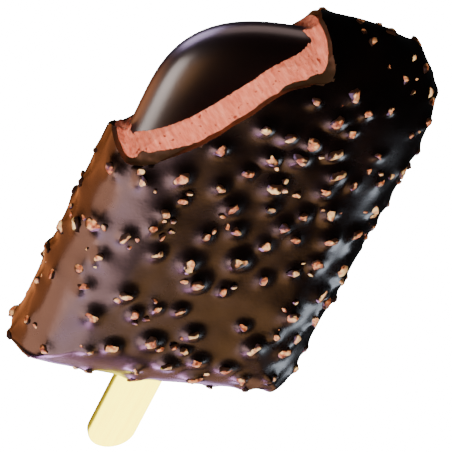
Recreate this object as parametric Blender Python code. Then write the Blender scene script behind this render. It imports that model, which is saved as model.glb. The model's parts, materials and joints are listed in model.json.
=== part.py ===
# Ice cream bar on a flat wooden stick, bitten at its upper left corner.
#
# The bar lies on its back. +Z comes out of its front, +Y runs to its rounded end and the stick
# points along -Y. From the outside in it has a dark chocolate coating with chopped nuts fused to
# it, a layer of chocolate ice cream, and a smooth inner bar of dark chocolate that the bite lays
# bare. All the layers are made by one rule, each further in than the last.
#
# Lengths are in metres.

import math
import random

import bpy
import bmesh
from mathutils import Euler, Vector, geometry

# The bar without its nuts
BAR_WIDTH = 0.060
BAR_LENGTH = 0.093
BAR_THICKNESS = 0.019
ARCH_HEIGHT = 0.027          # height of the rounded end, from where the sides stop being straight
ARCH_POWER = 3.0             # 2 is an ellipse, more is squarer
CORNER_RADIUS = 0.005        # the two corners beside the stick
BASE_BULGE = 0.0015          # how far the stick's end bows out
EDGE_RUN = 0.014             # how far in from the rim the flat faces begin
EDGE_POWER = 2.0
LEAST_CORNER = 0.001

# Layers, from the outside in
COATING_WALL = 0.0009
FILLING_WALL = 0.0021
GAP = 0.0003
FILLING_INSET = COATING_WALL + GAP
CORE_INSET = FILLING_INSET + FILLING_WALL + GAP

# How finely the outline and the rounded edge are divided
ARCH_STEPS = 22
SIDE_STEPS = 4
CORNER_STEPS = 4
BASE_STEPS = 6
EDGE_STEPS = 8

# Stick
STICK_WIDTH = 0.010
STICK_THICKNESS = 0.002
STICK_LENGTH = 0.093
STICK_SHOWING = 0.023        # from the bar's base to the stick's round end
STICK_ROUND_STEPS = 10

# Nuts
NUT_SEED = 11
NUT_COUNT = 236
NUT_TRIES = 9000
NUT_RADIUS = (0.0011, 0.0019)
NUT_SPACING = 0.0041
NUT_LIFT = 0.25              # centre of a nut above the surface, as a share of its radius
NUT_STRETCH = (1.15, 0.85, 0.62)
NUT_CHIP = 0.16              # how uneven a nut's corners are
NUT_LEAN = 0.5               # radians, most a nut leans each way
NUT_CLEARANCE = 0.0001       # from a nut to the bite and to the stick
REST_HEIGHT = 0.0010         # the nuts under the bar are worn flat this far below its back
FOOT_NUT_Y = -0.0120         # one large nut lies under the middle of bar and stick together
FOOT_NUT_RADIUS = 0.0021

# The bite's edge, seen from the front, as (x, y) from the middle of the bar: at the heights of the
# inner bar's flat back, of its middle and of its flat front, and of the ice cream's flat front.
BITE_BEHIND = [(-0.0380, 0.0110), (-0.0288, 0.0112), (-0.0265, 0.0109), (-0.0236, 0.0106),
               (-0.0160, 0.0205), (-0.0090, 0.0290), (-0.0024, 0.0346), (-0.0009, 0.0388),
               (-0.0007, 0.0430), (-0.0005, 0.0560)]
BITE_AT_MIDDLE = [(-0.0380, 0.0160), (-0.0288, 0.0132), (-0.0268, 0.0129), (-0.0258, 0.0165),
                  (-0.0195, 0.0260), (-0.0125, 0.0355), (-0.0078, 0.0403), (-0.0032, 0.0430),
                  (-0.0008, 0.0453), (0.0004, 0.0560)]
BITE_AT_CORE = [(-0.0380, 0.0110), (-0.0288, 0.0103), (-0.0257, 0.0105), (-0.0236, 0.0162),
                (-0.0176, 0.0247), (-0.0116, 0.0330), (-0.0074, 0.0375), (-0.0024, 0.0399),
                (0.0013, 0.0418), (0.0030, 0.0560)]
BITE_AT_FILLING = [(-0.0380, 0.0040), (-0.0288, 0.0080), (-0.0235, 0.0118), (-0.0202, 0.0154),
                   (-0.0146, 0.0218), (-0.0093, 0.0294), (-0.0058, 0.0347), (-0.0014, 0.0374),
                   (0.0034, 0.0402), (0.0060, 0.0560)]
BITE_LEVELS = (CORE_INSET - BAR_THICKNESS / 2, 0.0, BAR_THICKNESS / 2 - CORE_INSET,
               BAR_THICKNESS / 2 - FILLING_INSET)
BITE_STEPS = 4               # steps between two of those points
BITE_CORNER = (-0.0380, 0.0560)
BITE_PAST_FACE = 0.003

STICK_COLOUR = (0.86, 0.76, 0.46)
CORE_COLOUR = (0.035, 0.012, 0.006)
FILLING_COLOUR = (0.62, 0.27, 0.19)
COATING_COLOUR = (0.045, 0.018, 0.010)
SHARP_ANGLE = math.radians(40)

REACH = 0.2                  # a length well past the bar, for cutters


def signed_power(value, power):
    return math.copysign(abs(value) ** power, value)


def outline(inset):
    """The bar's outline seen from the front, drawn in by inset, anticlockwise."""
    half_width = BAR_WIDTH / 2 - inset
    top = BAR_LENGTH / 2 - inset
    base = -BAR_LENGTH / 2 + inset
    arch = ARCH_HEIGHT - inset
    corner = max(CORNER_RADIUS - inset, LEAST_CORNER)
    points = []
    for step in range(ARCH_STEPS + 1):
        angle = math.pi * step / ARCH_STEPS
        points.append((half_width * signed_power(math.cos(angle), 2 / ARCH_POWER),
                       top - arch + arch * max(math.sin(angle), 0.0) ** (2 / ARCH_POWER)))
    for step in range(1, SIDE_STEPS):
        share = step / SIDE_STEPS
        points.append((-half_width, (top - arch) * (1 - share) + (base + corner) * share))
    for step in range(CORNER_STEPS + 1):
        angle = math.pi / 2 * step / CORNER_STEPS
        points.append((-half_width + corner - corner * math.cos(angle),
                       base + corner - corner * math.sin(angle)))
    reach = half_width - corner
    for step in range(1, BASE_STEPS):
        x = reach * (2 * step / BASE_STEPS - 1)
        points.append((x, base - BASE_BULGE * (1 - (x / reach) ** 2)))
    for step in range(CORNER_STEPS + 1):
        angle = math.pi / 2 * (1 - step / CORNER_STEPS)
        points.append((half_width - corner + corner * math.cos(angle),
                       base + corner - corner * math.sin(angle)))
    for step in range(1, SIDE_STEPS):
        share = step / SIDE_STEPS
        points.append((half_width, (base + corner) * (1 - share) + (top - arch) * share))
    return points


def layer_rings(inset):
    """Rings of the bar's rounded slab, from its back to its front, drawn in by inset all over."""
    half = BAR_THICKNESS / 2 - inset
    run = EDGE_RUN - inset
    rings = []
    for step in range(EDGE_STEPS + 1):
        angle = math.pi * (step / EDGE_STEPS - 0.5)
        drawn_in = run * (1 - max(math.cos(angle), 0.0) ** (2 / EDGE_POWER))
        z = half * signed_power(math.sin(angle), 2 / EDGE_POWER)
        rings.append([Vector((x, y, z)) for x, y in outline(inset + drawn_in)])
    return rings


def smooth_path(points):
    """A Catmull-Rom curve through all the points but the two end ones, which only steer it."""
    points = [Vector(point) for point in points]
    path = []
    for before, start, end, after in zip(points, points[1:], points[2:], points[3:]):
        for step in range(BITE_STEPS):
            t = step / BITE_STEPS
            path.append(0.5 * (2 * start + (end - before) * t
                               + (2 * before - 5 * start + 4 * end - after) * t * t
                               + (3 * start - before - 3 * end + after) * t ** 3))
    return [points[0]] + path + [points[-2], points[-1]]


def bite_outline(z):
    """The bitten region seen from the front, at height z from the middle of the bar."""
    sections = (BITE_BEHIND, BITE_AT_MIDDLE, BITE_AT_CORE, BITE_AT_FILLING)
    edges = [smooth_path(points) for points in sections]
    height = min(max(z, BITE_LEVELS[0]), BITE_LEVELS[-1])
    under = sum(height >= level for level in BITE_LEVELS[1:-1])
    share = (height - BITE_LEVELS[under]) / (BITE_LEVELS[under + 1] - BITE_LEVELS[under])
    edge = [near.lerp(far, share) for near, far in zip(edges[under], edges[under + 1])]
    return edge + [Vector(BITE_CORNER)]


def loft(name, rings, collection):
    """A closed body through rings of the same number of points, with flat ends."""
    mesh = bpy.data.meshes.new(name)
    shape = bmesh.new()
    rows = [[shape.verts.new(point) for point in ring] for ring in rings]
    shape.faces.new(list(reversed(rows[0])))
    shape.faces.new(rows[-1])
    for low, high in zip(rows, rows[1:]):
        for index in range(len(low)):
            following = (index + 1) % len(low)
            shape.faces.new((low[index], low[following], high[following], high[index]))
    bmesh.ops.recalc_face_normals(shape, faces=shape.faces)
    shape.to_mesh(mesh)
    shape.free()
    body = bpy.data.objects.new(name, mesh)
    collection.objects.link(body)
    return body


def add_material(body, colour, roughness, coat_weight=0.0):
    material = bpy.data.materials.new(body.name)
    material.use_nodes = True
    shader = material.node_tree.nodes["Principled BSDF"]
    shader.inputs["Base Color"].default_value = (*colour, 1.0)
    shader.inputs["Roughness"].default_value = roughness
    shader.inputs["Metallic"].default_value = 0.0
    shader.inputs["Coat Weight"].default_value = coat_weight
    material.diffuse_color = (*colour, 1.0)
    body.data.materials.clear()
    body.data.materials.append(material)


def as_cutter(body):
    body.hide_render = True
    body.display_type = 'WIRE'
    return body


def cut(body, cutter):
    modifier = body.modifiers.new("cut by " + cutter.name, 'BOOLEAN')
    modifier.operation = 'DIFFERENCE'
    modifier.solver = 'EXACT'
    modifier.object = cutter


def stick_outline(grow):
    """The flat outline of the stick, larger by grow all round."""
    radius = STICK_WIDTH / 2
    low = -BAR_LENGTH / 2 - BASE_BULGE - STICK_SHOWING + radius
    high = low + STICK_LENGTH - 2 * radius
    points = []
    for middle, start in ((high, 0.0), (low, math.pi)):
        for step in range(STICK_ROUND_STEPS + 1):
            angle = start + math.pi * step / STICK_ROUND_STEPS
            points.append(((radius + grow) * math.cos(angle),
                           middle + (radius + grow) * math.sin(angle)))
    return points


def stick_body(name, grow, collection):
    """The stick as a flat curve with thickness, made a mesh so that it can cut."""
    curve = bpy.data.curves.new(name, 'CURVE')
    curve.dimensions = '2D'
    curve.fill_mode = 'BOTH'
    curve.extrude = STICK_THICKNESS / 2 + grow
    points = stick_outline(grow)
    spline = curve.splines.new('POLY')
    spline.points.add(len(points) - 1)
    for place, (x, y) in zip(spline.points, points):
        place.co = (x, y, 0.0, 1.0)
    spline.use_cyclic_u = True
    drawn = bpy.data.objects.new(name + " outline", curve)
    collection.objects.link(drawn)
    bpy.context.view_layer.update()
    evaluated = drawn.evaluated_get(bpy.context.evaluated_depsgraph_get())
    mesh = bpy.data.meshes.new_from_object(evaluated)
    mesh.name = name
    bpy.data.objects.remove(drawn)
    shape = bmesh.new()
    shape.from_mesh(mesh)
    bmesh.ops.remove_doubles(shape, verts=shape.verts, dist=1e-6)
    bmesh.ops.recalc_face_normals(shape, faces=shape.faces)
    shape.to_mesh(mesh)
    shape.free()
    body = bpy.data.objects.new(name, mesh)
    collection.objects.link(body)
    return body


def clear_of_bite(point, margin):
    """True where a point lies at least margin outside the bitten region."""
    edge = bite_outline(point.z)
    flat = Vector((point.x, point.y))
    crossings = 0
    nearest = REACH
    for start, end in zip(edge, edge[1:] + edge[:1]):
        closest, share = geometry.intersect_point_line(flat, start, end)
        if share < 0.0:
            closest = start.to_3d()
        elif share > 1.0:
            closest = end.to_3d()
        nearest = min(nearest, (closest.to_2d() - flat).length)
        if (start.y > flat.y) != (end.y > flat.y):
            if flat.x < start.x + (flat.y - start.y) * (end.x - start.x) / (end.y - start.y):
                crossings += 1
    return crossings % 2 == 0 and nearest > margin


def clear_of_stick(point, margin):
    return not (point.y < 0 and abs(point.x) < STICK_WIDTH / 2 + GAP + margin
                and abs(point.z) < STICK_THICKNESS / 2 + GAP + margin)


def nut_spots(body, draw):
    """Places for nuts spread evenly over a body's faces: point, way out and radius."""
    body.data.calc_loop_triangles()
    corners = [vertex.co.copy() for vertex in body.data.vertices]
    triangles = [tuple(corners[index] for index in triangle.vertices)
                 for triangle in body.data.loop_triangles]
    areas = [geometry.area_tri(*triangle) for triangle in triangles]
    under = Vector((0.0, FOOT_NUT_Y, -BAR_THICKNESS / 2))
    spots = [(under, Vector((0.0, 0.0, -1.0)), FOOT_NUT_RADIUS)]
    for first, second, third in draw.choices(triangles, areas, k=NUT_TRIES):
        along, across = sorted((draw.random(), draw.random()))
        radius = draw.uniform(*NUT_RADIUS)
        point = first * along + second * (across - along) + third * (1 - across)
        margin = radius + NUT_CLEARANCE
        if any((point - other).length < NUT_SPACING for other, way, size in spots):
            continue
        if clear_of_bite(point, margin) and clear_of_stick(point, margin):
            spots.append((point, geometry.normal((first, second, third)), radius))
        if len(spots) == NUT_COUNT:
            break
    return spots


def add_nut(spot, draw, collection):
    """A chopped nut: a small ball with uneven corners, half sunk in the coating."""
    point, way_out, radius = spot
    mesh = bpy.data.meshes.new("nut")
    shape = bmesh.new()
    bmesh.ops.create_icosphere(shape, subdivisions=1, radius=radius)
    for corner in shape.verts:
        corner.co *= 1 + draw.uniform(-NUT_CHIP, NUT_CHIP)
        corner.co = [length * stretch for length, stretch in zip(corner.co, NUT_STRETCH)]
    shape.to_mesh(mesh)
    shape.free()
    nut = bpy.data.objects.new("nut", mesh)
    tumble = Euler((draw.uniform(-NUT_LEAN, NUT_LEAN), draw.uniform(-NUT_LEAN, NUT_LEAN),
                    draw.uniform(0, 2 * math.pi)))
    nut.rotation_mode = 'QUATERNION'
    nut.rotation_quaternion = way_out.to_track_quat('Z', 'Y') @ tumble.to_quaternion()
    nut.location = point + way_out * radius * NUT_LIFT
    collection.objects.link(nut)


def fuse_nuts(body):
    """Scatter nuts over the body and make them one piece with it."""
    draw = random.Random(NUT_SEED)
    nuts = bpy.data.collections.new("nuts")
    bpy.context.scene.collection.children.link(nuts)
    for spot in nut_spots(body, draw):
        add_nut(spot, draw, nuts)
    modifier = body.modifiers.new("nuts", 'BOOLEAN')
    modifier.operation = 'UNION'
    modifier.solver = 'MANIFOLD'
    modifier.operand_type = 'COLLECTION'
    modifier.collection = nuts
    bpy.context.view_layer.update()
    evaluated = body.evaluated_get(bpy.context.evaluated_depsgraph_get())
    fused = bpy.data.meshes.new_from_object(evaluated)
    body.modifiers.clear()
    body.data = fused
    for nut in list(nuts.objects):
        bpy.data.objects.remove(nut)
    bpy.data.collections.remove(nuts)


def floor_cutter(collection):
    """A block under the height at which the nuts are worn flat."""
    mesh = bpy.data.meshes.new("floor")
    shape = bmesh.new()
    bmesh.ops.create_cube(shape, size=REACH)
    shape.to_mesh(mesh)
    shape.free()
    block = bpy.data.objects.new("floor", mesh)
    block.location.z = -BAR_THICKNESS / 2 - REST_HEIGHT - REACH / 2
    collection.objects.link(block)
    return block


def bite_cutter(collection):
    """What the bite took: narrowest at the bar's middle, wider towards its back and front."""
    far = BAR_THICKNESS / 2 + BITE_PAST_FACE
    rings = [[Vector((x, y, z)) for x, y in bite_outline(z)] for z in (-far, *BITE_LEVELS, far)]
    return loft("bite", rings, collection)


def new_collection(name):
    collection = bpy.data.collections.new(name)
    bpy.context.scene.collection.children.link(collection)
    return collection


def stand_on_origin(bodies, cutters):
    """Hang everything on one empty, so that the bar rests on z = 0, centred on the origin."""
    bpy.context.view_layer.update()
    scene_state = bpy.context.evaluated_depsgraph_get()
    corners = [body.evaluated_get(scene_state).matrix_world @ vertex.co
               for body in bodies for vertex in body.evaluated_get(scene_state).data.vertices]
    low = [min(corner[axis] for corner in corners) for axis in range(3)]
    high = [max(corner[axis] for corner in corners) for axis in range(3)]
    root = bpy.data.objects.new("bar_origin", None)
    bpy.context.scene.collection.objects.link(root)
    for body in bodies + cutters:
        body.parent = root
    root.location = (-(low[0] + high[0]) / 2, -(low[1] + high[1]) / 2, -low[2])


def build():
    for leftover in list(bpy.data.objects):
        bpy.data.objects.remove(leftover)
    bar = new_collection("ice_cream_bar")
    cutter_room = new_collection("cutters")

    stick = stick_body("stick", 0.0, bar)
    core = loft("core", layer_rings(CORE_INSET), bar)
    filling = loft("filling", layer_rings(FILLING_INSET), bar)
    coating = loft("coating", layer_rings(0.0), bar)

    bite = bite_cutter(cutter_room)
    socket = stick_body("stick_socket", GAP, cutter_room)
    core_room = loft("core_room", layer_rings(CORE_INSET - GAP), cutter_room)
    filling_room = loft("filling_room", layer_rings(COATING_WALL), cutter_room)
    floor = floor_cutter(cutter_room)
    cutters = [as_cutter(body) for body in (bite, socket, core_room, filling_room, floor)]

    fuse_nuts(coating)
    for cutter in (filling_room, bite, socket, floor):
        cut(coating, cutter)
    for cutter in (core_room, bite, socket):
        cut(filling, cutter)
    cut(core, socket)

    for body in (core, filling, coating):
        body.data.shade_smooth()
        body.data.set_sharp_from_angle(angle=SHARP_ANGLE)
    add_material(stick, STICK_COLOUR, 0.65)
    add_material(core, CORE_COLOUR, 0.18, coat_weight=0.4)
    add_material(filling, FILLING_COLOUR, 0.75)
    add_material(coating, COATING_COLOUR, 0.25, coat_weight=0.3)
    stand_on_origin([stick, core, filling, coating], cutters)


build()
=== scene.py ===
import json
import math
import random

import bmesh
import bpy
import numpy as np
from mathutils import Matrix, Vector, geometry, noise
from mathutils.bvhtree import BVHTree

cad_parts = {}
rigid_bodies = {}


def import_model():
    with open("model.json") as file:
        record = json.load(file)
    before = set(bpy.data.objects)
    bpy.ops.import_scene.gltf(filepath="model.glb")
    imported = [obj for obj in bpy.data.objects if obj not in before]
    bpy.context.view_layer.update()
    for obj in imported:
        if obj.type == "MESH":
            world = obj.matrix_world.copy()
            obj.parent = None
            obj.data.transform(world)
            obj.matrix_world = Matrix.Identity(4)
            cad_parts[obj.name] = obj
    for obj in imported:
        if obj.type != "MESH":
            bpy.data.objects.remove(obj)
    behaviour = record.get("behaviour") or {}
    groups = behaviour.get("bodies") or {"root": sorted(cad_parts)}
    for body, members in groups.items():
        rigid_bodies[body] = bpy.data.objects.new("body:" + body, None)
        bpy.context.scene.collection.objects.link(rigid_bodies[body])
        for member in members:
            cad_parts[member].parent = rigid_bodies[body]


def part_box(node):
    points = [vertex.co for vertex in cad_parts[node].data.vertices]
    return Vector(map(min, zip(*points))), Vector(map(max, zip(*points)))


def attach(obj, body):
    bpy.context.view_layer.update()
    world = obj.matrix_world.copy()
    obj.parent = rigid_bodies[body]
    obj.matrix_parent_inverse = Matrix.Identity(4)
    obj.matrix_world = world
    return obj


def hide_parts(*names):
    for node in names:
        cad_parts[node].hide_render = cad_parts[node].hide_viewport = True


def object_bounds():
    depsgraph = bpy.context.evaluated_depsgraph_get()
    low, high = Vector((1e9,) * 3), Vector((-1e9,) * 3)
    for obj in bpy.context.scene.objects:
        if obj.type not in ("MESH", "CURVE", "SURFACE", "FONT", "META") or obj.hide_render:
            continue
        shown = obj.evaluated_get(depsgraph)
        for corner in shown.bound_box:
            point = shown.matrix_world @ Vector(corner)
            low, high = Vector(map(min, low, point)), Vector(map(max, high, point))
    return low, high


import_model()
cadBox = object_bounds()
print("frame loaded, CAD box", cadBox)

# the bar's own sizes in metres, the same rule as the solids follow
bar = {
    "width": 0.060,
    "length": 0.093,
    "thickness": 0.019,
    "archHeight": 0.027,        # height of the rounded end
    "archPower": 3.0,
    "cornerRadius": 0.005,      # beside the stick
    "baseBulge": 0.0015,
    "edgeRun": 0.014,           # from the rim to where the flat faces begin
    "edgePower": 2.0,
    "leastCorner": 0.001,
}
layers = {
    "coatingWall": 0.0009,
    "fillingWall": 0.0021,
    "gap": 0.0003,
    "seam": 0.00006,            # what shows of a gap at the bite
}
fillingInset = layers["coatingWall"] + layers["gap"]
coreInset = fillingInset + layers["fillingWall"] + layers["gap"]

coarse = {"arch": 22, "side": 4, "corner": 4, "base": 6, "edge": 8}   # steps of the solids

stick = {
    "width": 0.010,
    "thickness": 0.002,
    "length": 0.093,
    "showing": 0.023,
    "roundSteps": 24,
    "edgeRounding": 0.00035,
    "edgeSegments": 3,
    "sharpAngle": 50,           # degrees, from where an edge isn't shaded smooth
}
innerBarShape = {
    "factor": 6,                # how much finer than the solid
    "faceRings": 16,
    "sharpAngle": 50,
}
iceCreamShape = {
    "factor": 3,
    "sharpAngle": 60,
}
weldDistance = 1e-7             # points nearer than this are one

stickLow, stickHigh = (Vector(corner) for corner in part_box("stick"))
barMiddle = (stickLow + stickHigh) / 2     # the middle of the bar, half way through its thickness
barMiddle.y = stickLow.y + bar["length"] / 2 + bar["baseBulge"] + stick["showing"]

collection = bpy.data.collections.new("iceCreamBarLooks")
bpy.context.scene.collection.children.link(collection)


def signedPower(value, power):
    return math.copysign(abs(value) ** power, value)


def outlinePoints(inset, steps):
    # the bar's outline from the front, drawn in by inset, anticlockwise, about the bar's middle
    halfWidth = bar["width"] / 2 - inset
    top = bar["length"] / 2 - inset
    base = -bar["length"] / 2 + inset
    arch = bar["archHeight"] - inset
    corner = max(bar["cornerRadius"] - inset, bar["leastCorner"])
    power = 2 / bar["archPower"]
    points = []
    for step in range(steps["arch"] + 1):
        angle = math.pi * step / steps["arch"]
        points.append((halfWidth * signedPower(math.cos(angle), power),
                       top - arch + arch * max(math.sin(angle), 0.0) ** power))
    for step in range(1, steps["side"]):
        share = step / steps["side"]
        points.append((-halfWidth, (top - arch) * (1 - share) + (base + corner) * share))
    for step in range(steps["corner"] + 1):
        angle = math.pi / 2 * step / steps["corner"]
        points.append((-halfWidth + corner - corner * math.cos(angle),
                       base + corner - corner * math.sin(angle)))
    reach = halfWidth - corner
    for step in range(1, steps["base"]):
        x = reach * (2 * step / steps["base"] - 1)
        points.append((x, base - bar["baseBulge"] * (1 - (x / reach) ** 2)))
    for step in range(steps["corner"] + 1):
        angle = math.pi / 2 * (1 - step / steps["corner"])
        points.append((halfWidth - corner + corner * math.cos(angle),
                       base + corner - corner * math.sin(angle)))
    for step in range(1, steps["side"]):
        share = step / steps["side"]
        points.append((halfWidth, (base + corner) * (1 - share) + (top - arch) * share))
    return points


def layerRings(inset, steps):
    # rings of the rounded slab from its back to its front
    half = bar["thickness"] / 2 - inset
    run = bar["edgeRun"] - inset
    power = 2 / bar["edgePower"]
    rings = []
    for step in range(steps["edge"] + 1):
        angle = math.pi * (step / steps["edge"] - 0.5)
        drawnIn = run * (1 - max(math.cos(angle), 0.0) ** power)
        z = half * signedPower(math.sin(angle), power)
        rings.append([Vector((x, y, z)) for x, y in outlinePoints(inset + drawnIn, steps)])
    return rings


def faceRings(rim, count):
    # rings that close a flat face, from its rim in to a line along the bar's middle
    reach = bar["length"] / 2 - bar["width"] / 2
    rings = []
    for step in range(1, count + 1):
        share = 1 - step / count
        ring = []
        for point in rim:
            anchor = Vector((0.0, max(-reach, min(reach, point.y)), point.z))
            ring.append(anchor.lerp(point, share))
        rings.append(ring)
    return rings


def addMesh(name, mesh):
    piece = bpy.data.objects.new(name, mesh)
    collection.objects.link(piece)
    return piece


def loft(name, rings):
    # a closed body through rings of equal length, in the frame's coordinates
    mesh = bpy.data.meshes.new(name)
    shape = bmesh.new()
    rows = [[shape.verts.new(point + barMiddle) for point in ring] for ring in rings]
    shape.faces.new(list(reversed(rows[0])))
    shape.faces.new(rows[-1])
    for low, high in zip(rows, rows[1:]):
        for index in range(len(low)):
            following = (index + 1) % len(low)
            shape.faces.new((low[index], low[following], high[following], high[index]))
    bmesh.ops.recalc_face_normals(shape, faces=shape.faces)
    shape.to_mesh(mesh)
    shape.free()
    return addMesh(name, mesh)


def fineSteps(factor):
    return {key: count * factor for key, count in coarse.items()}


def smoothSlab(name, inset, factor, faceCount):
    # the rounded slab with evenly divided faces, whose two sides meet on the middle line
    rings = layerRings(inset, fineSteps(factor))
    back = faceRings(rings[0], faceCount)
    front = faceRings(rings[-1], faceCount)
    piece = loft(name, list(reversed(back)) + rings + front)
    shape = bmesh.new()
    shape.from_mesh(piece.data)
    ends = [face for face in shape.faces if len(face.verts) > 4]
    bmesh.ops.delete(shape, geom=ends, context='FACES_ONLY')
    bmesh.ops.remove_doubles(shape, verts=shape.verts, dist=weldDistance)
    shape.to_mesh(piece.data)
    shape.free()
    return piece


def evaluatedMesh(piece):
    bpy.context.view_layer.update()
    seen = piece.evaluated_get(bpy.context.evaluated_depsgraph_get())
    return bpy.data.meshes.new_from_object(seen)


def cutAway(piece, cutter):
    modifier = piece.modifiers.new("cut", 'BOOLEAN')
    modifier.operation = 'DIFFERENCE'
    modifier.solver = 'MANIFOLD'
    modifier.object = cutter
    mesh = evaluatedMesh(piece)
    piece.modifiers.clear()
    piece.data = mesh


def finishPiece(piece, node, material, sharpAngle):
    piece.data.materials.clear()
    piece.data.materials.append(material)
    piece.data.shade_smooth()
    piece.data.set_sharp_from_angle(angle=math.radians(sharpAngle))
    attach(piece, "root")
    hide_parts(node)


# the bite's edge as (x, y) from the bar's middle: at the heights of the inner bar's flat back, of
# its middle and of its flat front, and of the ice cream's flat front
bite = {
    "behind": [(-0.0380, 0.0110), (-0.0288, 0.0112), (-0.0265, 0.0109), (-0.0236, 0.0106),
               (-0.0160, 0.0205), (-0.0090, 0.0290), (-0.0024, 0.0346), (-0.0009, 0.0388),
               (-0.0007, 0.0430), (-0.0005, 0.0560)],
    "atMiddle": [(-0.0380, 0.0160), (-0.0288, 0.0132), (-0.0268, 0.0129), (-0.0258, 0.0165),
                 (-0.0195, 0.0260), (-0.0125, 0.0355), (-0.0078, 0.0403), (-0.0032, 0.0430),
                 (-0.0008, 0.0453), (0.0004, 0.0560)],
    "atCore": [(-0.0380, 0.0110), (-0.0288, 0.0103), (-0.0257, 0.0105), (-0.0236, 0.0162),
               (-0.0176, 0.0247), (-0.0116, 0.0330), (-0.0074, 0.0375), (-0.0024, 0.0399),
               (0.0013, 0.0418), (0.0030, 0.0560)],
    "atFilling": [(-0.0380, 0.0040), (-0.0288, 0.0080), (-0.0235, 0.0118), (-0.0202, 0.0154),
                  (-0.0146, 0.0218), (-0.0093, 0.0294), (-0.0058, 0.0347), (-0.0014, 0.0374),
                  (0.0034, 0.0402), (0.0060, 0.0560)],
    "levels": (coreInset - bar["thickness"] / 2, 0.0, bar["thickness"] / 2 - coreInset,
               bar["thickness"] / 2 - fillingInset),
    "coarseSteps": 4,           # between two of the points, as in the solids
    "fineSteps": 16,
    "shallow": 0.38,            # rise for each step along the shallow part of the wall
    "corner": (-0.0380, 0.0560),
    "pastFace": 0.003,
}


def smoothPath(points, steps):
    points = [Vector(point) for point in points]
    path = [points[0]]
    for before, start, end, after in zip(points, points[1:], points[2:], points[3:]):
        for step in range(steps):
            t = step / steps
            path.append(0.5 * (2 * start + (end - before) * t
                               + (2 * before - 5 * start + 4 * end - after) * t * t
                               + (3 * start - before - 3 * end + after) * t ** 3))
    return np.array([tuple(point) for point in path + [points[-2], points[-1]]])


def bitePaths(steps):
    return [smoothPath(bite[name], steps) for name in ("behind", "atMiddle", "atCore", "atFilling")]


def biteEdge(paths, z):
    # the bite's edge at height z, between the two nearest of the four paths
    levels = bite["levels"]
    height = min(max(z, levels[0]), levels[-1])
    under = sum(height >= level for level in levels[1:-1])
    share = (height - levels[under]) / (levels[under + 1] - levels[under])
    return paths[under] + (paths[under + 1] - paths[under]) * share


def evenly(paths, spacing):
    # the same paths with points that are evenly spaced along the third one
    guide = paths[2]
    along = np.concatenate([[0], np.cumsum(np.linalg.norm(np.diff(guide, axis=0), axis=1))])
    steps = np.arange(len(guide))
    places = np.interp(np.linspace(0, along[-1], int(along[-1] / spacing)), along, steps)
    return [np.column_stack([np.interp(places, steps, path[:, axis]) for axis in (0, 1)])
            for path in paths]


def biteCutter(name, spacing, roughen):
    # what the bite took, with a wall that roughen(point) moves in or out
    paths = evenly(bitePaths(bite["fineSteps"]), spacing)
    top = bar["thickness"] / 2 + bite["pastFace"]
    slope = bite["levels"][-2:]                 # where the wall is shallow
    heights = np.concatenate([np.arange(-top, slope[0], spacing),
                              np.arange(*slope, spacing * bite["shallow"]),
                              np.arange(slope[1], top, spacing)])
    wall = np.array([np.column_stack([biteEdge(paths, z), np.full(len(paths[0]), z)])
                     for z in heights])
    outward = np.cross(np.gradient(wall, axis=1), np.gradient(wall, axis=0))
    outward /= np.linalg.norm(outward, axis=2)[:, :, None]
    rings = []
    for z, row, ways in zip(heights, wall, outward):
        ring = [Vector(place) + Vector(way) * roughen(Vector(place)) for place, way in zip(row, ways)]
        rings.append(ring + [Vector((*bite["corner"], z))])
    return loft(name, rings)


foam = {
    "waveSize": 0.0020,
    "waveHeight": 0.00006,
    "grainSize": 0.00050,
    "grainHeight": 0.00008,
    "grooveSize": 0.00045,      # fine lines across the band
    "grooveHeight": 0.00009,
    "grooveTurn": 0.3,          # how much they change through the band's depth
    "pitSpacing": 0.0012,
    "pitWidth": 0.24,           # share of the spacing
    "pitUsual": 0.65,           # share of that width, and how much it varies
    "pitVaried": 0.35,
    "pitMix": 7.3,              # gives each pit its own width
    "pitDepth": 0.00030,
    "pitRound": 0.6,
    "spacing": 0.00021,
}


def foamRelief(point):
    push = foam["waveHeight"] * noise.noise(point / foam["waveSize"])
    push += foam["grainHeight"] * noise.noise(point / foam["grainSize"])
    along = Vector((point.x + point.y, point.z * foam["grooveTurn"], 0.0)) / foam["grooveSize"]
    push += foam["grooveHeight"] * noise.noise(along)
    distances, places = noise.voronoi(point / foam["pitSpacing"])
    share = foam["pitUsual"] + foam["pitVaried"] * noise.cell(places[0] * foam["pitMix"])
    pit = max(0.0, 1 - distances[0] / (foam["pitWidth"] * share))
    return push + foam["pitDepth"] * pit ** foam["pitRound"]


crack = {
    "waveSize": 0.0042,
    "waveHeight": 0.00025,
    "chipSize": 0.0011,
    "chipHeight": 0.00012,
    "standOff": -0.00010,       # the coating reaches this far past the ice cream
    "spacing": 0.00030,
    "drawnBack": 0.0013,        # the coating's back breaks off a little further in
    "backDepth": 0.004,
    "onWall": 0.00003,          # how near the bite's wall a broken face lies
}


def crackedEdge(point):
    push = crack["standOff"] + crack["waveHeight"] * noise.noise(point / crack["waveSize"])
    push += crack["drawnBack"] * min(1.0, max(0.0, -point.z / crack["backDepth"]))
    return push + crack["chipHeight"] * noise.noise(point / crack["chipSize"])


# the nuts: the first ones are those of the solids, and small crumbs lie between them
nuts = {
    "seed": 11,
    "count": 236,               # with the one that the bar rests on
    "tries": 9000,
    "radius": (0.0011, 0.0019),
    "spacing": 0.0041,
    "clearance": 0.0001,
    "lift": 0.25,               # of a nut's radius
    "footY": -0.0120,           # the one that the bar rests on
    "footRadius": 0.0021,
}
crumbs = {
    "seed": 5,
    "count": 170,
    "tries": 16000,
    "radius": (0.00045, 0.00100),
    "spacing": 0.0017,
    "nearNut": 0.0032,          # they lie beside the larger nuts
}
farApart = 0.2                  # more than any two places here


coarseBite = bitePaths(bite["coarseSteps"])


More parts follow.
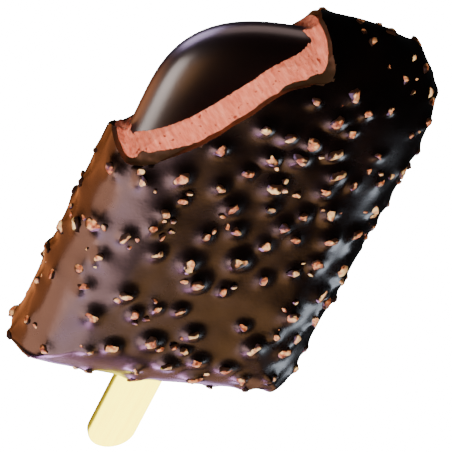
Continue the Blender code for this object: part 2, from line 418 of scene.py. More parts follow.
def clearOfBite(point, margin):
    edge = [Vector(place) for place in biteEdge(coarseBite, point.z)] + [Vector(bite["corner"])]
    flat = Vector((point.x, point.y))
    crossings = 0
    nearest = farApart
    for start, end in zip(edge, edge[1:] + edge[:1]):
        closest, share = geometry.intersect_point_line(flat, start, end)
        if share < 0.0:
            closest = start.to_3d()
        elif share > 1.0:
            closest = end.to_3d()
        nearest = min(nearest, (closest.to_2d() - flat).length)
        if (start.y > flat.y) != (end.y > flat.y):
            if flat.x < start.x + (flat.y - start.y) * (end.x - start.x) / (end.y - start.y):
                crossings += 1
    return crossings % 2 == 0 and nearest > margin


def clearOfStick(point, margin):
    return not (point.y < 0 and abs(point.x) < stick["width"] / 2 + layers["gap"] + margin
                and abs(point.z) < stick["thickness"] / 2 + layers["gap"] + margin)


def spotsOn(slab, rule, spots, wanted):
    # adds to spots: evenly spread places on the slab as point, way out and radius
    draw = random.Random(rule["seed"])
    slab.data.calc_loop_triangles()
    corners = [vertex.co - barMiddle for vertex in slab.data.vertices]
    triangles = [tuple(corners[index] for index in triangle.vertices)
                 for triangle in slab.data.loop_triangles]
    areas = [geometry.area_tri(*triangle) for triangle in triangles]
    for first, second, third in draw.choices(triangles, areas, k=rule["tries"]):
        along, across = sorted((draw.random(), draw.random()))
        radius = draw.uniform(*rule["radius"])
        point = first * along + second * (across - along) + third * (1 - across)
        margin = radius + nuts["clearance"]
        apart = min((point - other).length for other, way, size in spots)
        if apart < rule["spacing"] or apart > rule.get("nearNut", farApart):
            continue
        if clearOfBite(point, margin) and clearOfStick(point, margin):
            spots.append((point, geometry.normal((first, second, third)), radius))
        if len(spots) == wanted:
            break


def allSpots():
    slab = loft("slabForSpots", layerRings(0.0, coarse))
    under = Vector((0.0, nuts["footY"], -bar["thickness"] / 2))
    spots = [(under, Vector((0.0, 0.0, -1.0)), nuts["footRadius"])]
    spotsOn(slab, nuts, spots, nuts["count"])
    spotsOn(slab, crumbs, spots, nuts["count"] + crumbs["count"])
    bpy.data.objects.remove(slab)
    return spots


spots = allSpots()
print("nut spots", len(spots))


def valueNode(tree, kind, place, **settings):
    node = tree.nodes.new(kind)
    node.location = place
    for key, value in settings.items():
        setattr(node, key, value)
    return node


def noiseNode(tree, coordinates, scale, detail, place, roughness=0.5):
    node = valueNode(tree, "ShaderNodeTexNoise", place)
    node.inputs["Scale"].default_value = scale
    node.inputs["Detail"].default_value = detail
    node.inputs["Roughness"].default_value = roughness
    tree.links.new(coordinates, node.inputs["Vector"])
    return node


def rampNode(tree, factor, stops, place):
    node = valueNode(tree, "ShaderNodeValToRGB", place)
    ramp = node.color_ramp
    while len(ramp.elements) < len(stops):
        ramp.elements.new(0.5)
    for element, (position, colour) in zip(ramp.elements, stops):
        element.position = position
        element.color = (*colour, 1.0)
    tree.links.new(factor, node.inputs["Fac"])
    return node


def rangeNode(tree, value, before, after, place):
    # stretches a value from the range before to the range after
    node = valueNode(tree, "ShaderNodeMapRange", place)
    node.inputs["From Min"].default_value, node.inputs["From Max"].default_value = before
    node.inputs["To Min"].default_value, node.inputs["To Max"].default_value = after
    tree.links.new(value, node.inputs["Value"])
    return node


def bumpNode(tree, height, strength, distance, place):
    node = valueNode(tree, "ShaderNodeBump", place)
    node.inputs["Strength"].default_value = strength
    node.inputs["Distance"].default_value = distance
    tree.links.new(height, node.inputs["Height"])
    return node


def newMaterial(name, roughness, specular):
    material = bpy.data.materials.new(name)
    material.use_nodes = True
    tree = material.node_tree
    shader = tree.nodes["Principled BSDF"]
    shader.inputs["Roughness"].default_value = roughness
    shader.inputs["Specular IOR Level"].default_value = specular
    coordinates = valueNode(tree, "ShaderNodeTexCoord", (-1400, 0)).outputs["Object"]
    return material, tree, shader, coordinates


wholeRange = (0.0, 1.0)
patchRange = (0.35, 0.70)       # the part of a noise that makes patches


def chocolateMaterial(name, look):
    material, tree, shader, coordinates = newMaterial(name, look["roughness"], look["specular"])
    patches = noiseNode(tree, coordinates, look["patchScale"], 3, (-1100, 250))
    tones = [(patchRange[0], look["dark"]), (patchRange[1], look["light"])]
    colour = rampNode(tree, patches.outputs["Fac"], tones, (-800, 250))
    base = colour.outputs["Color"]
    smears = noiseNode(tree, coordinates, look["smearScale"], 4, (-1100, -50))
    glossRange = (look["roughness"] - look["smears"], look["roughness"] + look["smears"])
    gloss = rangeNode(tree, smears.outputs["Fac"], patchRange, glossRange, (-800, -50))
    roughness = gloss.outputs["Result"]
    # the bite's broken faces: a duller gloss, and a lighter brown that is partly painted light on a
    # wall that lies in shade
    if "brokenPaintedLighter" in look:
        brokenPaintedLighter = valueNode(tree, "ShaderNodeAttribute", (-800, 500), attribute_name="brokenPaintedLighter")
        mix = valueNode(tree, "ShaderNodeMix", (-500, 300), data_type='RGBA')
        mix.inputs["B"].default_value = (*look["brokenPaintedLighter"], 1.0)
        tree.links.new(brokenPaintedLighter.outputs["Fac"], mix.inputs["Factor"])
        tree.links.new(base, mix.inputs["A"])
        base = mix.outputs["Result"]
        duller = valueNode(tree, "ShaderNodeMath", (-500, 0), operation='MULTIPLY_ADD')
        duller.inputs[1].default_value = look["brokenRoughness"]
        tree.links.new(brokenPaintedLighter.outputs["Fac"], duller.inputs[0])
        tree.links.new(roughness, duller.inputs[2])
        roughness = duller.outputs["Value"]
    tree.links.new(base, shader.inputs["Base Color"])
    tree.links.new(roughness, shader.inputs["Roughness"])
    grain = noiseNode(tree, coordinates, look["grainScale"], 3, (-1100, -350))
    bump = bumpNode(tree, grain.outputs["Fac"], look["grain"], look["grainDepth"], (-400, -350))
    tree.links.new(bump.outputs["Normal"], shader.inputs["Normal"])
    return material


coatingLook = {
    "dark": (0.0060, 0.0026, 0.0016),
    "light": (0.0140, 0.0055, 0.0030),
    "patchScale": 120,
    "roughness": 0.25,
    "specular": 0.5,
    "smearScale": 90,
    "smears": 0.05,
    "grainScale": 1500,
    "grain": 0.25,
    "grainDepth": 0.00006,
    "brokenPaintedLighter": (0.23, 0.125, 0.055),     # where the bite broke it: a duller, lighter brown, partly broken chocolate and partly painted light on a face that lies in shade
    "brokenRoughness": 0.30,
}
coreLook = {
    "dark": (0.0120, 0.0016, 0.0010),
    "light": (0.0180, 0.0034, 0.0016),
    "patchScale": 60,
    "roughness": 0.33,
    "specular": 0.5,
    "smearScale": 40,
    "smears": 0.03,
    "grainScale": 1200,
    "grain": 0.10,
    "grainDepth": 0.00003,
}
fillingLook = {
    "tones": [(0.28, (0.36, 0.070, 0.038)), (0.50, (0.50, 0.122, 0.069)),
              (0.72, (0.62, 0.200, 0.124))],
    "grainScale": 1500,
    "grainRoughness": 0.62,
    "grooveTurn": 54,           # degrees, the way the bitten band runs
    "grooveStretch": 4.0,
    "hollowScale": 700,
    "dot": (0.20, 0.030, 0.015),
    "dotScale": 1000,
    "dotRange": (0.66, 0.74),
    "roughness": 0.62,
    "specular": 0.35,
    "glow": 0.25,               # how much light goes through the surface
    "glowRadius": (1.0, 0.45, 0.30),
    "glowScale": 0.0008,
    "relief": 0.8,
    "depth": 0.00032,
}
nutLook = {
    "tones": [(0.28, (0.13, 0.028, 0.010)), (0.40, (0.40, 0.110, 0.038)),   # skin, toasted
              (0.52, (0.58, 0.26, 0.105)), (0.66, (0.76, 0.50, 0.20))],     # flesh, pale flesh
    "patchScale": 1050,
    "toneRange": (-0.13, 0.10),  # how far one nut's tone is from another's
    "edgeScale": 900,           # where the chocolate on a nut ends
    "edgeHeight": 0.9,
    "edgeRange": (0.68, 0.86),
    "roughness": 0.55,
    "glazed": 0.28,             # roughness where chocolate covers it
    "specular": 0.4,
    "relief": 0.5,
    "depth": 0.00012,
}
woodLook = {
    "tones": [(0.30, (0.95, 0.78, 0.035)), (0.58, (0.98, 0.88, 0.060))],
    "fibreScale": 1700,
    "fibreRoughness": 0.6,
    "fibreStretch": 0.045,      # along the stick
    "roughness": 0.60,
    "specular": 0.3,
    "relief": 0.35,
    "depth": 0.00008,
}


def fillingMaterial():
    look = fillingLook
    material, tree, shader, coordinates = newMaterial("paleIceCream", look["roughness"],
                                                      look["specular"])
    across = valueNode(tree, "ShaderNodeMapping", (-1250, 200), vector_type='TEXTURE')
    across.inputs["Rotation"].default_value = (0.0, 0.0, math.radians(look["grooveTurn"]))
    across.inputs["Scale"].default_value = (1.0, look["grooveStretch"], look["grooveStretch"])
    tree.links.new(coordinates, across.inputs["Vector"])
    grain = noiseNode(tree, across.outputs["Vector"], look["grainScale"], 5, (-1100, 200),
                      look["grainRoughness"])
    hollows = noiseNode(tree, coordinates, look["hollowScale"], 2, (-1100, -100))
    colour = rampNode(tree, grain.outputs["Fac"], look["tones"], (-800, 200))
    dots = noiseNode(tree, coordinates, look["dotScale"], 1, (-1100, 500))
    inDot = rangeNode(tree, dots.outputs["Fac"], look["dotRange"], wholeRange, (-800, 500))
    mix = valueNode(tree, "ShaderNodeMix", (-400, 300), data_type='RGBA')
    mix.inputs["B"].default_value = (*look["dot"], 1.0)
    tree.links.new(inDot.outputs["Result"], mix.inputs["Factor"])
    tree.links.new(colour.outputs["Color"], mix.inputs["A"])
    tree.links.new(mix.outputs["Result"], shader.inputs["Base Color"])
    shader.inputs["Subsurface Weight"].default_value = look["glow"]
    shader.inputs["Subsurface Radius"].default_value = look["glowRadius"]
    shader.inputs["Subsurface Scale"].default_value = look["glowScale"]
    heights = valueNode(tree, "ShaderNodeMath", (-700, -200), operation='ADD')
    tree.links.new(grain.outputs["Fac"], heights.inputs[0])
    tree.links.new(hollows.outputs["Fac"], heights.inputs[1])
    bump = bumpNode(tree, heights.outputs["Value"], look["relief"], look["depth"], (-400, -200))
    tree.links.new(bump.outputs["Normal"], shader.inputs["Normal"])
    return material


def nutMaterial():
    look = nutLook
    material, tree, shader, coordinates = newMaterial("choppedNut", look["roughness"], look["specular"])
    tone = valueNode(tree, "ShaderNodeAttribute", (-1400, 400), attribute_name="nutTone")
    rise = valueNode(tree, "ShaderNodeAttribute", (-1400, -400), attribute_name="nutRise")
    patches = noiseNode(tree, coordinates, look["patchScale"], 3, (-1100, 200))
    mixed = valueNode(tree, "ShaderNodeMath", (-900, 300), operation='ADD')
    tree.links.new(patches.outputs["Fac"], mixed.inputs[0])
    shift = rangeNode(tree, tone.outputs["Fac"], wholeRange, look["toneRange"], (-1150, 450))
    tree.links.new(shift.outputs["Result"], mixed.inputs[1])
    colour = rampNode(tree, mixed.outputs["Value"], look["tones"], (-700, 300))
    edge = noiseNode(tree, coordinates, look["edgeScale"], 2, (-1100, -250))
    covered = valueNode(tree, "ShaderNodeMath", (-900, -300), operation='MULTIPLY_ADD')
    covered.inputs[1].default_value = look["edgeHeight"]
    tree.links.new(edge.outputs["Fac"], covered.inputs[0])
    tree.links.new(rise.outputs["Fac"], covered.inputs[2])
    bare = rangeNode(tree, covered.outputs["Value"], look["edgeRange"], wholeRange, (-700, -300))
    glossRange = (look["glazed"], look["roughness"])
    gloss = rangeNode(tree, bare.outputs["Result"], wholeRange, glossRange, (-400, 0))
    tree.links.new(gloss.outputs["Result"], shader.inputs["Roughness"])
    mix = valueNode(tree, "ShaderNodeMix", (-400, 200), data_type='RGBA')
    mix.inputs["A"].default_value = (*coatingLook["light"], 1.0)
    tree.links.new(bare.outputs["Result"], mix.inputs["Factor"])
    tree.links.new(colour.outputs["Color"], mix.inputs["B"])
    tree.links.new(mix.outputs["Result"], shader.inputs["Base Color"])
    bump = bumpNode(tree, patches.outputs["Fac"], look["relief"], look["depth"], (-400, -350))
    tree.links.new(bump.outputs["Normal"], shader.inputs["Normal"])
    return material


def woodMaterial():
    look = woodLook
    material, tree, shader, coordinates = newMaterial("paleWood", look["roughness"], look["specular"])
    stretch = valueNode(tree, "ShaderNodeMapping", (-1250, 100))
    stretch.inputs["Scale"].default_value = (1.0, look["fibreStretch"], 1.0)
    tree.links.new(coordinates, stretch.inputs["Vector"])
    fibres = noiseNode(tree, stretch.outputs["Vector"], look["fibreScale"], 4, (-1050, 100),
                       look["fibreRoughness"])
    colour = rampNode(tree, fibres.outputs["Fac"], look["tones"], (-800, 100))
    tree.links.new(colour.outputs["Color"], shader.inputs["Base Color"])
    bump = bumpNode(tree, fibres.outputs["Fac"], look["relief"], look["depth"], (-400, -200))
    tree.links.new(bump.outputs["Normal"], shader.inputs["Normal"])
    return material


coatingChocolate = chocolateMaterial("darkChocolate", coatingLook)
coreChocolate = chocolateMaterial("innerChocolate", coreLook)
iceCream = fillingMaterial()
choppedNut = nutMaterial()
paleWood = woodMaterial()
print("materials made")


def stickOutline(grow):
    radius = stick["width"] / 2
    low = -bar["length"] / 2 - bar["baseBulge"] - stick["showing"] + radius
    high = low + stick["length"] - 2 * radius
    points = []
    for middle, start in ((high, 0.0), (low, math.pi)):
        for step in range(stick["roundSteps"] + 1):
            angle = start + math.pi * step / stick["roundSteps"]
            points.append(Vector(((radius + grow) * math.cos(angle),
                                  middle + (radius + grow) * math.sin(angle), 0.0)))
    return points


def stickBody(name, grow):
    half = stick["thickness"] / 2 + grow
    rings = [[Vector((point.x, point.y, z)) for point in stickOutline(grow)] for z in (-half, half)]
    return loft(name, rings)


def makeStick():
    piece = stickBody("stickWood", 0.0)
    bevel = piece.modifiers.new("edges", 'BEVEL')
    bevel.width = stick["edgeRounding"]
    bevel.segments = stick["edgeSegments"]
    bevel.limit_method = 'ANGLE'
    mesh = evaluatedMesh(piece)
    piece.modifiers.clear()
    piece.data = mesh
    finishPiece(piece, "stick", paleWood, stick["sharpAngle"])
    return piece


def makeCore(socket):
    rule = innerBarShape
    piece = smoothSlab("innerBar", coreInset, rule["factor"], rule["faceRings"])
    cutAway(piece, socket)
    finishPiece(piece, "core", coreChocolate, rule["sharpAngle"])
    return piece


def makeFilling(socket, roomForCore):
    rule = iceCreamShape
    piece = loft("iceCreamLayer", layerRings(fillingInset, fineSteps(rule["factor"])))
    cutter = biteCutter("foamBite", foam["spacing"], foamRelief)
    for tool in (roomForCore, cutter, socket):
        cutAway(piece, tool)
    bpy.data.objects.remove(cutter)
    finishPiece(piece, "filling", iceCream, rule["sharpAngle"])
    return piece


coating = {
    "factor": 9,                # how much finer than the solid
    "faceRings": 30,
    "moundHeight": 0.52,        # share of a nut's radius
    "moundWidth": 1.18,
    "crumbMound": 0.30,         # of that for a crumb
    "moundsAdd": 0.35,          # how much of a lower mound adds to a higher one
    "rippleSize": 0.011,
    "rippleHeight": 0.00022,
    "dimpleSize": 0.0042,
    "dimpleHeight": 0.00007,
    "collarHeight": 0.0006,     # chocolate drawn up round the stick
    "collarWidth": 0.0016,
    "sharpAngle": 60,
}


def raiseCoating(piece):
    # mounds over the nuts, slow ripples and a collar round the stick
    mesh = piece.data
    count = len(mesh.vertices)
    places = np.empty(count * 3)
    mesh.vertices.foreach_get("co", places)
    places = places.reshape(-1, 3) - np.array(barMiddle)
    normals = np.empty(count * 3)
    mesh.vertex_normals.foreach_get("vector", normals)
    normals = normals.reshape(-1, 3)
    height = np.zeros(count)
    for point, wayOut, radius in spots:
        distance = np.linalg.norm(places - np.array(point), axis=1)
        width = radius * coating["moundWidth"]
        share = coating["moundHeight"] * (1 if radius >= nuts["radius"][0] else coating["crumbMound"])
        mound = radius * share * np.exp(-(distance / width) ** 2)
        height = np.maximum(height, mound) + coating["moundsAdd"] * np.minimum(height, mound)
    for index in range(count):
        point = Vector(places[index])
        height[index] += coating["rippleHeight"] * noise.noise(point / coating["rippleSize"])
        height[index] += coating["dimpleHeight"] * noise.noise(point / coating["dimpleSize"])
    fromStick = np.hypot(np.maximum(np.abs(places[:, 0]) - stick["width"] / 2, 0),
                         np.maximum(np.abs(places[:, 2]) - stick["thickness"] / 2, 0))
    collar = coating["collarHeight"] * np.exp(-(fromStick / coating["collarWidth"]) ** 2)
    height += np.where(places[:, 1] < 0, collar, 0)
    places += normals * height[:, None] + np.array(barMiddle)
    places[:, 2] = np.maximum(places[:, 2], 0.0)
    mesh.vertices.foreach_set("co", places.ravel())
    mesh.update()


def markBrokenPaintedLighter(piece, cutter):
    # marks the faces that lie on the bite's wall, for their duller gloss and their painted lighter
    # colour
    tree = BVHTree.FromObject(cutter, bpy.context.evaluated_depsgraph_get())
    near = [tree.find_nearest(face.center)[3] for face in piece.data.polygons]
    mark = piece.data.attributes.new("brokenPaintedLighter", 'FLOAT', 'FACE')
    mark.data.foreach_set("value", [float(apart < crack["onWall"]) for apart in near])


def makeCoating(socket, roomForFilling):
    piece = smoothSlab("chocolateCoat", 0.0, coating["factor"], coating["faceRings"])
    raiseCoating(piece)
    cutter = biteCutter("crackedBite", crack["spacing"], crackedEdge)
    for tool in (roomForFilling, cutter, socket):
        cutAway(piece, tool)
    markBrokenPaintedLighter(piece, cutter)
    bpy.data.objects.remove(cutter)
    finishPiece(piece, "coating", coatingChocolate, coating["sharpAngle"])
    return piece


chips = {
    "kinds": 9,
    "seed": 3,
    "cuts": 4,                  # flat cleaved faces on each kind
    "cutDepth": (0.55, 0.85),
    "stretch": (1.15, 0.85, 0.62),
    "uneven": 0.08,
    "lumpSize": 0.75,
    "lumpHeight": 0.34,
    "lumpStep": 9.0,            # from one kind to the next, in the lumps' noise
    "sharpAngle": 28,
}


def nutKinds():
    # a few chopped nuts of radius 1, each a small ball with flat cleaved faces
    draw = random.Random(chips["seed"])
    kinds = bpy.data.collections.new("nutKinds")
    bpy.context.scene.collection.children.link(kinds)
    for kind in range(chips["kinds"]):
        shape = bmesh.new()
        bmesh.ops.create_icosphere(shape, subdivisions=2, radius=1.0)
        cuts = []
        for cut in range(chips["cuts"]):
            way = Vector([draw.gauss(0, 1) for axis in range(3)]).normalized()
            cuts.append((way, draw.uniform(*chips["cutDepth"])))
        for vertex in shape.verts:
            place = vertex.co / chips["lumpSize"] + Vector((kind * chips["lumpStep"], 0.0, 0.0))
            lump = noise.noise(place)
            vertex.co *= 1 + lump * chips["lumpHeight"] + draw.uniform(-1, 1) * chips["uneven"]
            for way, depth in cuts:
                past = vertex.co.dot(way) - depth
                if past > 0:
                    vertex.co -= way * past
            vertex.co = [length * stretch for length, stretch in zip(vertex.co, chips["stretch"])]
        mesh = bpy.data.meshes.new("nutKind%d" % kind)
        shape.to_mesh(mesh)
        shape.free()
        rise = mesh.attributes.new("nutRise", 'FLOAT', 'POINT')
        rise.data.foreach_set("value", [vertex.co.z for vertex in mesh.vertices])
        mesh.shade_smooth()
        mesh.set_sharp_from_angle(angle=math.radians(chips["sharpAngle"]))
        kinds.objects.link(bpy.data.objects.new("nutKind%d" % kind, mesh))
    return kinds


def scatterTree():
    # chopped nuts on points that carry their way out and their size
    tree = bpy.data.node_groups.new("scatterNuts", 'GeometryNodeTree')
    sockets = tree.interface
    sockets.new_socket(name="Geometry", in_out='INPUT', socket_type='NodeSocketGeometry')
    sockets.new_socket(name="Nut kinds", in_out='INPUT', socket_type='NodeSocketCollection')
    sockets.new_socket(name="Size", in_out='INPUT', socket_type='NodeSocketFloat')
    sockets.new_socket(name="Lean", in_out='INPUT', socket_type='NodeSocketFloat')
    sockets.new_socket(name="Seed", in_out='INPUT', socket_type='NodeSocketInt')
    sockets.new_socket(name="Material", in_out='INPUT', socket_type='NodeSocketMaterial')
    sockets.new_socket(name="Geometry", in_out='OUTPUT', socket_type='NodeSocketGeometry')
    entry = valueNode(tree, "NodeGroupInput", (-900, 0))
    leaving = valueNode(tree, "NodeGroupOutput", (900, 0))
    sources = valueNode(tree, "GeometryNodeCollectionInfo", (-600, -200))
    sources.inputs["Separate Children"].default_value = True
    sources.inputs["Reset Children"].default_value = True
    tree.links.new(entry.outputs["Nut kinds"], sources.inputs["Collection"])
    wayOut = valueNode(tree, "GeometryNodeInputNamedAttribute", (-900, -350), data_type='FLOAT_VECTOR')
    wayOut.inputs["Name"].default_value = "wayOut"
    size = valueNode(tree, "GeometryNodeInputNamedAttribute", (-900, -520), data_type='FLOAT')
    size.inputs["Name"].default_value = "nutRadius"
    upright = valueNode(tree, "FunctionNodeAlignRotationToVector", (-600, -450), axis='Z')
    tree.links.new(wayOut.outputs["Attribute"], upright.inputs["Vector"])
    tumble = valueNode(tree, "FunctionNodeRandomValue", (-600, -650), data_type='FLOAT_VECTOR')
    least = valueNode(tree, "ShaderNodeCombineXYZ", (-800, -700))
    most = valueNode(tree, "ShaderNodeCombineXYZ", (-800, -850))
    opposite = valueNode(tree, "ShaderNodeMath", (-950, -700), operation='MULTIPLY')
    opposite.inputs[1].default_value = -1.0
    most.inputs["Z"].default_value = 2 * math.pi
    tree.links.new(entry.outputs["Lean"], opposite.inputs[0])
    for axis in ("X", "Y"):
        tree.links.new(opposite.outputs["Value"], least.inputs[axis])
        tree.links.new(entry.outputs["Lean"], most.inputs[axis])
    tree.links.new(least.outputs["Vector"], tumble.inputs["Min"])
    tree.links.new(most.outputs["Vector"], tumble.inputs["Max"])
    tree.links.new(entry.outputs["Seed"], tumble.inputs["Seed"])
    turned = valueNode(tree, "FunctionNodeRotateRotation", (-300, -500), rotation_space='LOCAL')
    tree.links.new(upright.outputs["Rotation"], turned.inputs["Rotation"])
    tree.links.new(tumble.outputs["Value"], turned.inputs["Rotate By"])
    scale = valueNode(tree, "ShaderNodeMath", (-600, -850), operation='MULTIPLY')
    tree.links.new(size.outputs["Attribute"], scale.inputs[0])
    tree.links.new(entry.outputs["Size"], scale.inputs[1])
    placed = valueNode(tree, "GeometryNodeInstanceOnPoints", (-100, 0))
    placed.inputs["Pick Instance"].default_value = True
    tree.links.new(entry.outputs["Geometry"], placed.inputs["Points"])
    tree.links.new(sources.outputs["Instances"], placed.inputs["Instance"])
    tree.links.new(turned.outputs["Rotation"], placed.inputs["Rotation"])
    tree.links.new(scale.outputs["Value"], placed.inputs["Scale"])
    kind = valueNode(tree, "FunctionNodeRandomValue", (-300, -250), data_type='INT')
    kind.inputs["Min"].default_value = 0
    kind.inputs["Max"].default_value = chips["kinds"] - 1
    tree.links.new(entry.outputs["Seed"], kind.inputs["Seed"])
    tree.links.new(kind.outputs["Value"], placed.inputs["Instance Index"])
    tone = valueNode(tree, "FunctionNodeRandomValue", (100, -250), data_type='FLOAT')
    tree.links.new(entry.outputs["Seed"], tone.inputs["Seed"])
    store = valueNode(tree, "GeometryNodeStoreNamedAttribute", (250, 0),
                      data_type='FLOAT', domain='INSTANCE')
    store.inputs["Name"].default_value = "nutTone"
    tree.links.new(placed.outputs["Instances"], store.inputs["Geometry"])
    tree.links.new(tone.outputs["Value"], store.inputs["Value"])
    realize = valueNode(tree, "GeometryNodeRealizeInstances", (450, 0))
    tree.links.new(store.outputs["Geometry"], realize.inputs["Geometry"])
    paint = valueNode(tree, "GeometryNodeSetMaterial", (650, 0))
    tree.links.new(realize.outputs["Geometry"], paint.inputs["Geometry"])
    tree.links.new(entry.outputs["Material"], paint.inputs["Material"])
    tree.links.new(paint.outputs["Geometry"], leaving.inputs["Geometry"])
    return tree


def setInput(modifier, tree, name, value):
    for item in tree.interface.items_tree:
        if item.item_type == 'SOCKET' and item.in_out == 'INPUT' and item.name == name:
            modifier[item.identifier] = value


scatter = {
    "Size": 0.92,
    "Lean": 0.5,
    "Seed": 21,
}


def makeNuts():
    mesh = bpy.data.meshes.new("nutSpots")
    places = [point + wayOut * radius * nuts["lift"] + barMiddle for point, wayOut, radius in spots]
    mesh.from_pydata(places, [], [])
    ways = mesh.attributes.new("wayOut", 'FLOAT_VECTOR', 'POINT')
    ways.data.foreach_set("vector", [length for point, wayOut, radius in spots for length in wayOut])
    sizes = mesh.attributes.new("nutRadius", 'FLOAT', 'POINT')
    sizes.data.foreach_set("value", [radius for point, wayOut, radius in spots])
    piece = addMesh("choppedNuts", mesh)
    kinds = nutKinds()
    tree = scatterTree()
    modifier = piece.modifiers.new("scatter", 'NODES')
    modifier.node_group = tree
    setInput(modifier, tree, "Nut kinds", kinds)
    setInput(modifier, tree, "Material", choppedNut)
    for name, value in scatter.items():
        setInput(modifier, tree, name, value)
    piece.data = evaluatedMesh(piece)
    piece.modifiers.clear()
    for kind in list(kinds.objects):
        bpy.data.objects.remove(kind)
    bpy.data.collections.remove(kinds)
    low, high = cadBox
    for vertex in piece.data.vertices:          # worn flat where the bar rests
        vertex.co = [min(max(place, least), most)
                     for place, least, most in zip(vertex.co, low, high)]
    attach(piece, "root")
    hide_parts("coating")
    return piece


def roomFor(name, inset):
    # what is cut out of a layer for the one inside it
    return loft(name, layerRings(inset - layers["seam"], fineSteps(iceCreamShape["factor"])))


socket = stickBody("socket", layers["gap"])
roomForCore = roomFor("roomForCore", coreInset)
roomForFilling = roomFor("roomForFilling", fillingInset)
stickWood = makeStick()
print("stick made", len(stickWood.data.vertices))
innerBar = makeCore(socket)
print("inner bar made", len(innerBar.data.vertices))
iceCreamLayer = makeFilling(socket, roomForCore)
print("ice cream made", len(iceCreamLayer.data.vertices))
chocolateCoat = makeCoating(socket, roomForFilling)
print("coating made", len(chocolateCoat.data.vertices))
choppedNuts = makeNuts()
print("nuts made", len(choppedNuts.data.vertices))
for tool in (socket, roomForCore, roomForFilling):
    bpy.data.objects.remove(tool)


# the camera looks down on the front from beyond the bar's upper left corner
photo = {
    "size": 452,
    "barMiddle": (231.2, 198.9),            # where the bar's middle lies, in the photo's pixels
    "pixelsPerMetre": 5216,
}
view = {
    "distance": 0.6015,
    "left": 0.3955,                         # share of the way that goes to the bar's left
    "above": 0.6003,                        # share that goes towards its rounded end
    "roll": 62.38,                          # degrees
    "sensor": 36.0,
    "clip": (0.01, 20.0),
}


def makeCamera():
    forward = Vector((view["left"], -view["above"],
                      -math.sqrt(1 - view["left"] ** 2 - view["above"] ** 2)))
    alongBar = Vector((0.0, 1.0, 0.0))
    alongBar = (alongBar - forward * alongBar.dot(forward)).normalized()
    acrossBar = forward.cross(alongBar)
    roll = math.radians(view["roll"])
    right = alongBar * math.cos(roll) + acrossBar * math.sin(roll)
    up = alongBar * math.sin(roll) - acrossBar * math.cos(roll)
    pixels = photo["pixelsPerMetre"] * view["distance"]        # focal length in pixels
    offX = (photo["size"] / 2 - photo["barMiddle"][0]) / pixels
    offY = (photo["size"] / 2 - photo["barMiddle"][1]) / pixels
    aim = (forward + right * offX - up * offY).normalized()
    right = (right - aim * right.dot(aim)).normalized()
    up = right.cross(aim)
    camera = bpy.data.cameras.new("camera")
    camera.sensor_width = view["sensor"]
    camera.lens = pixels / photo["size"] * view["sensor"]
    camera.clip_start, camera.clip_end = view["clip"]
    eye = bpy.data.objects.new("camera", camera)
    turn = Matrix((right, up, -aim)).transposed().to_4x4()
    eye.matrix_world = Matrix.Translation(barMiddle - forward * view["distance"]) @ turn
    collection.objects.link(eye)
    bpy.context.scene.camera = eye


floorLook = {
    "size": 4.0,
    "colour": (0.50, 0.50, 0.50),
    "glow": 20.0,
    "roughness": 0.9,
    "specular": 0.1,
}
studio = {
    "colour": (0.9, 0.9, 1.0),
    "bright": 0.02,
}


def makeFloor():
    mesh = bpy.data.meshes.new("floor")
    shape = bmesh.new()
    bmesh.ops.create_grid(shape, x_segments=1, y_segments=1, size=floorLook["size"] / 2)
    shape.to_mesh(mesh)
    shape.free()
    floor = addMesh("floor", mesh)
    material, tree, shader, coordinates = newMaterial("paleFloor", floorLook["roughness"],
                                                      floorLook["specular"])
    shader.inputs["Base Color"].default_value = (*floorLook["colour"], 1.0)
    shader.inputs["Emission Color"].default_value = (1.0, 1.0, 1.0, 1.0)
    shader.inputs["Emission Strength"].default_value = floorLook["glow"]
    mesh.materials.append(material)
    floor.visible_glossy = False
    floor.visible_diffuse = False
    floor.visible_shadow = False


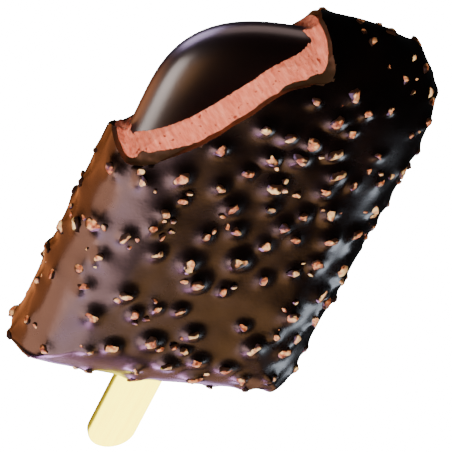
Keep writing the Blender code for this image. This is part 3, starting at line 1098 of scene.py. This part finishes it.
# each light: the way from the bar to it, how far off it is, its size, brightness and colour, and
# the pieces it lights if not all; a dull one colours dull surfaces, the others are seen in the gloss
lights = {
    "key": {"way": (-0.45, 0.35, 0.82), "far": 0.60, "size": (0.45, 0.45), "bright": 18.0,
            "colour": (1.0, 0.97, 0.93), "dull": True, "only": (choppedNuts, iceCreamLayer)},
    "fill": {"way": (0.1, -0.75, 0.60), "far": 0.60, "size": (0.40, 0.40), "bright": 5.0,
             "colour": (0.95, 0.95, 1.0), "dull": True, "only": (choppedNuts, iceCreamLayer)},
    "stickLight": {"way": (0.1, -0.40, 0.90), "far": 0.60, "size": (0.40, 0.40), "bright": 62.0,
                   "colour": (1.0, 0.94, 0.35), "dull": True, "only": (stickWood,)},
    "nutGlaze": {"way": (-0.62, -0.52, 0.50), "far": 0.50, "size": (0.30, 0.30), "bright": 9.0,
                 "colour": (0.74, 0.50, 1.0), "only": (choppedNuts,)},
    "softTop": {"way": (-0.2, 0.1, 0.95), "far": 0.80, "size": (0.80, 0.80), "bright": 0.8,
                "colour": (1.0, 0.80, 0.70), "dull": True, "only": (chocolateCoat, innerBar)},
    "brownSheet": {"way": (0.33, -0.72, 0.62), "far": 0.31, "size": (0.085, 0.09), "bright": 2.4,
                   "colour": (1.0, 0.48, 0.18), "only": (chocolateCoat,)},
    "mauveEdge": {"way": (0.22, -0.72, 0.66), "far": 0.31, "size": (0.05, 0.07), "bright": 1.6,
                  "colour": (1.0, 0.72, 0.80), "only": (chocolateCoat,)},
    "lowCorner": {"way": (-0.24, -0.75, 0.61), "far": 0.36, "size": (0.10, 0.05), "bright": 3.2,
                  "colour": (0.35, 0.32, 1.0), "only": (chocolateCoat,)},
    "sheen": {"way": (-0.25, -0.68, 0.68), "far": 0.31, "size": (0.23, 0.10), "bright": 7.4,
              "colour": (1.0, 0.60, 0.57), "only": (chocolateCoat,)},
    "lowSheen": {"way": (0.09, -0.91, 0.40), "far": 0.50, "size": (0.16, 0.12), "bright": 8.2,
                 "colour": (1.0, 0.48, 0.78)},
    "lavender": {"way": (0.06, -0.98, 0.18), "far": 0.50, "size": (0.15, 0.12), "bright": 19.0,
                 "colour": (0.88, 0.42, 1.0)},
    "baseBrown": {"way": (0.34, -0.93, 0.08), "far": 0.50, "size": (0.30, 0.20), "bright": 1.3,
                  "colour": (1.0, 0.46, 0.24)},
    "baseCorner": {"way": (0.13, -0.97, 0.03), "far": 0.25, "size": (0.045, 0.06), "bright": 1.2,
                   "colour": (0.90, 0.66, 1.0)},
    "baseGlow": {"way": (0.24, -0.93, -0.28), "far": 0.26, "size": (0.10, 0.06), "bright": 3.4,
                 "colour": (0.90, 0.54, 1.0)},
    "leftWarmth": {"way": (-0.68, -0.62, 0.35), "far": 0.50, "size": (0.30, 0.32), "bright": 6.2,
                   "colour": (1.0, 0.46, 0.30), "only": (chocolateCoat,)},
    "leftGlow": {"way": (-0.70, -0.62, -0.25), "far": 0.50, "size": (0.34, 0.30), "bright": 2.6,
                 "colour": (1.0, 0.31, 0.11)},
    "leftUnder": {"way": (-0.42, -0.64, -0.66), "far": 0.50, "size": (0.44, 0.26), "bright": 1.2,
                  "colour": (1.0, 0.28, 0.07)},
    "cornerUnder": {"way": (-0.12, -0.83, -0.55), "far": 0.50, "size": (0.36, 0.26), "bright": 1.4,
                    "colour": (1.0, 0.34, 0.12)},
    "rightStrip": {"way": (0.748, -0.627, 0.218), "far": 0.32, "size": (0.07, 0.09), "bright": 6.0,
                   "colour": (0.80, 0.88, 1.0)},
    "innerBand": {"way": (-0.84, -0.27, 0.43), "far": 0.50, "size": (0.44, 0.26), "bright": 17.0,
                  "colour": (1.0, 0.88, 0.82), "only": (innerBar,)},
    "innerBrown": {"way": (-0.55, -0.15, 0.82), "far": 0.50, "size": (0.30, 0.22), "bright": 3.2,
                   "colour": (1.0, 0.42, 0.10), "only": (innerBar,)},
    "innerEdge": {"way": (-0.75, -0.45, -0.30), "far": 0.50, "size": (0.40, 0.40), "bright": 1.9,
                  "colour": (1.0, 0.50, 0.28), "only": (innerBar,)},
    "innerCorner": {"way": (-0.62, 0.45, -0.62), "far": 0.50, "size": (0.36, 0.44), "bright": 15.0,
                    "colour": (0.78, 0.62, 1.0), "only": (innerBar,)},
    "innerTop": {"way": (0.05, 0.92, -0.36), "far": 0.50, "size": (0.60, 0.36), "bright": 3.2,
                 "colour": (1.0, 0.72, 0.68), "only": (innerBar,)},
}


def makeLights():
    for name, look in lights.items():
        lamp = bpy.data.lights.new(name, 'AREA')
        lamp.shape = 'RECTANGLE'
        lamp.size, lamp.size_y = look["size"]
        lamp.energy = look["bright"] * math.pi * lamp.size * lamp.size_y
        lamp.color = look["colour"]
        light = bpy.data.objects.new(name, lamp)
        way = Vector(look["way"]).normalized()
        light.location = barMiddle + way * look["far"]
        light.rotation_mode = 'QUATERNION'
        light.rotation_quaternion = way.to_track_quat('Z', 'Y')
        light.visible_camera = False
        dull = look.get("dull", False)
        light.visible_diffuse = dull
        light.visible_glossy = not dull
        if "only" in look:
            lit = bpy.data.collections.new(name + "Lit")
            for piece in look["only"]:
                lit.objects.link(piece)
            light.light_linking.receiver_collection = lit
        collection.objects.link(light)
    world = bpy.data.worlds.new("studio")
    world.use_nodes = True
    background = world.node_tree.nodes["Background"]
    background.inputs["Color"].default_value = (*studio["colour"], 1.0)
    background.inputs["Strength"].default_value = studio["bright"]
    bpy.context.scene.world = world


makeCamera()
makeFloor()
makeLights()
print("camera, floor and lights made")
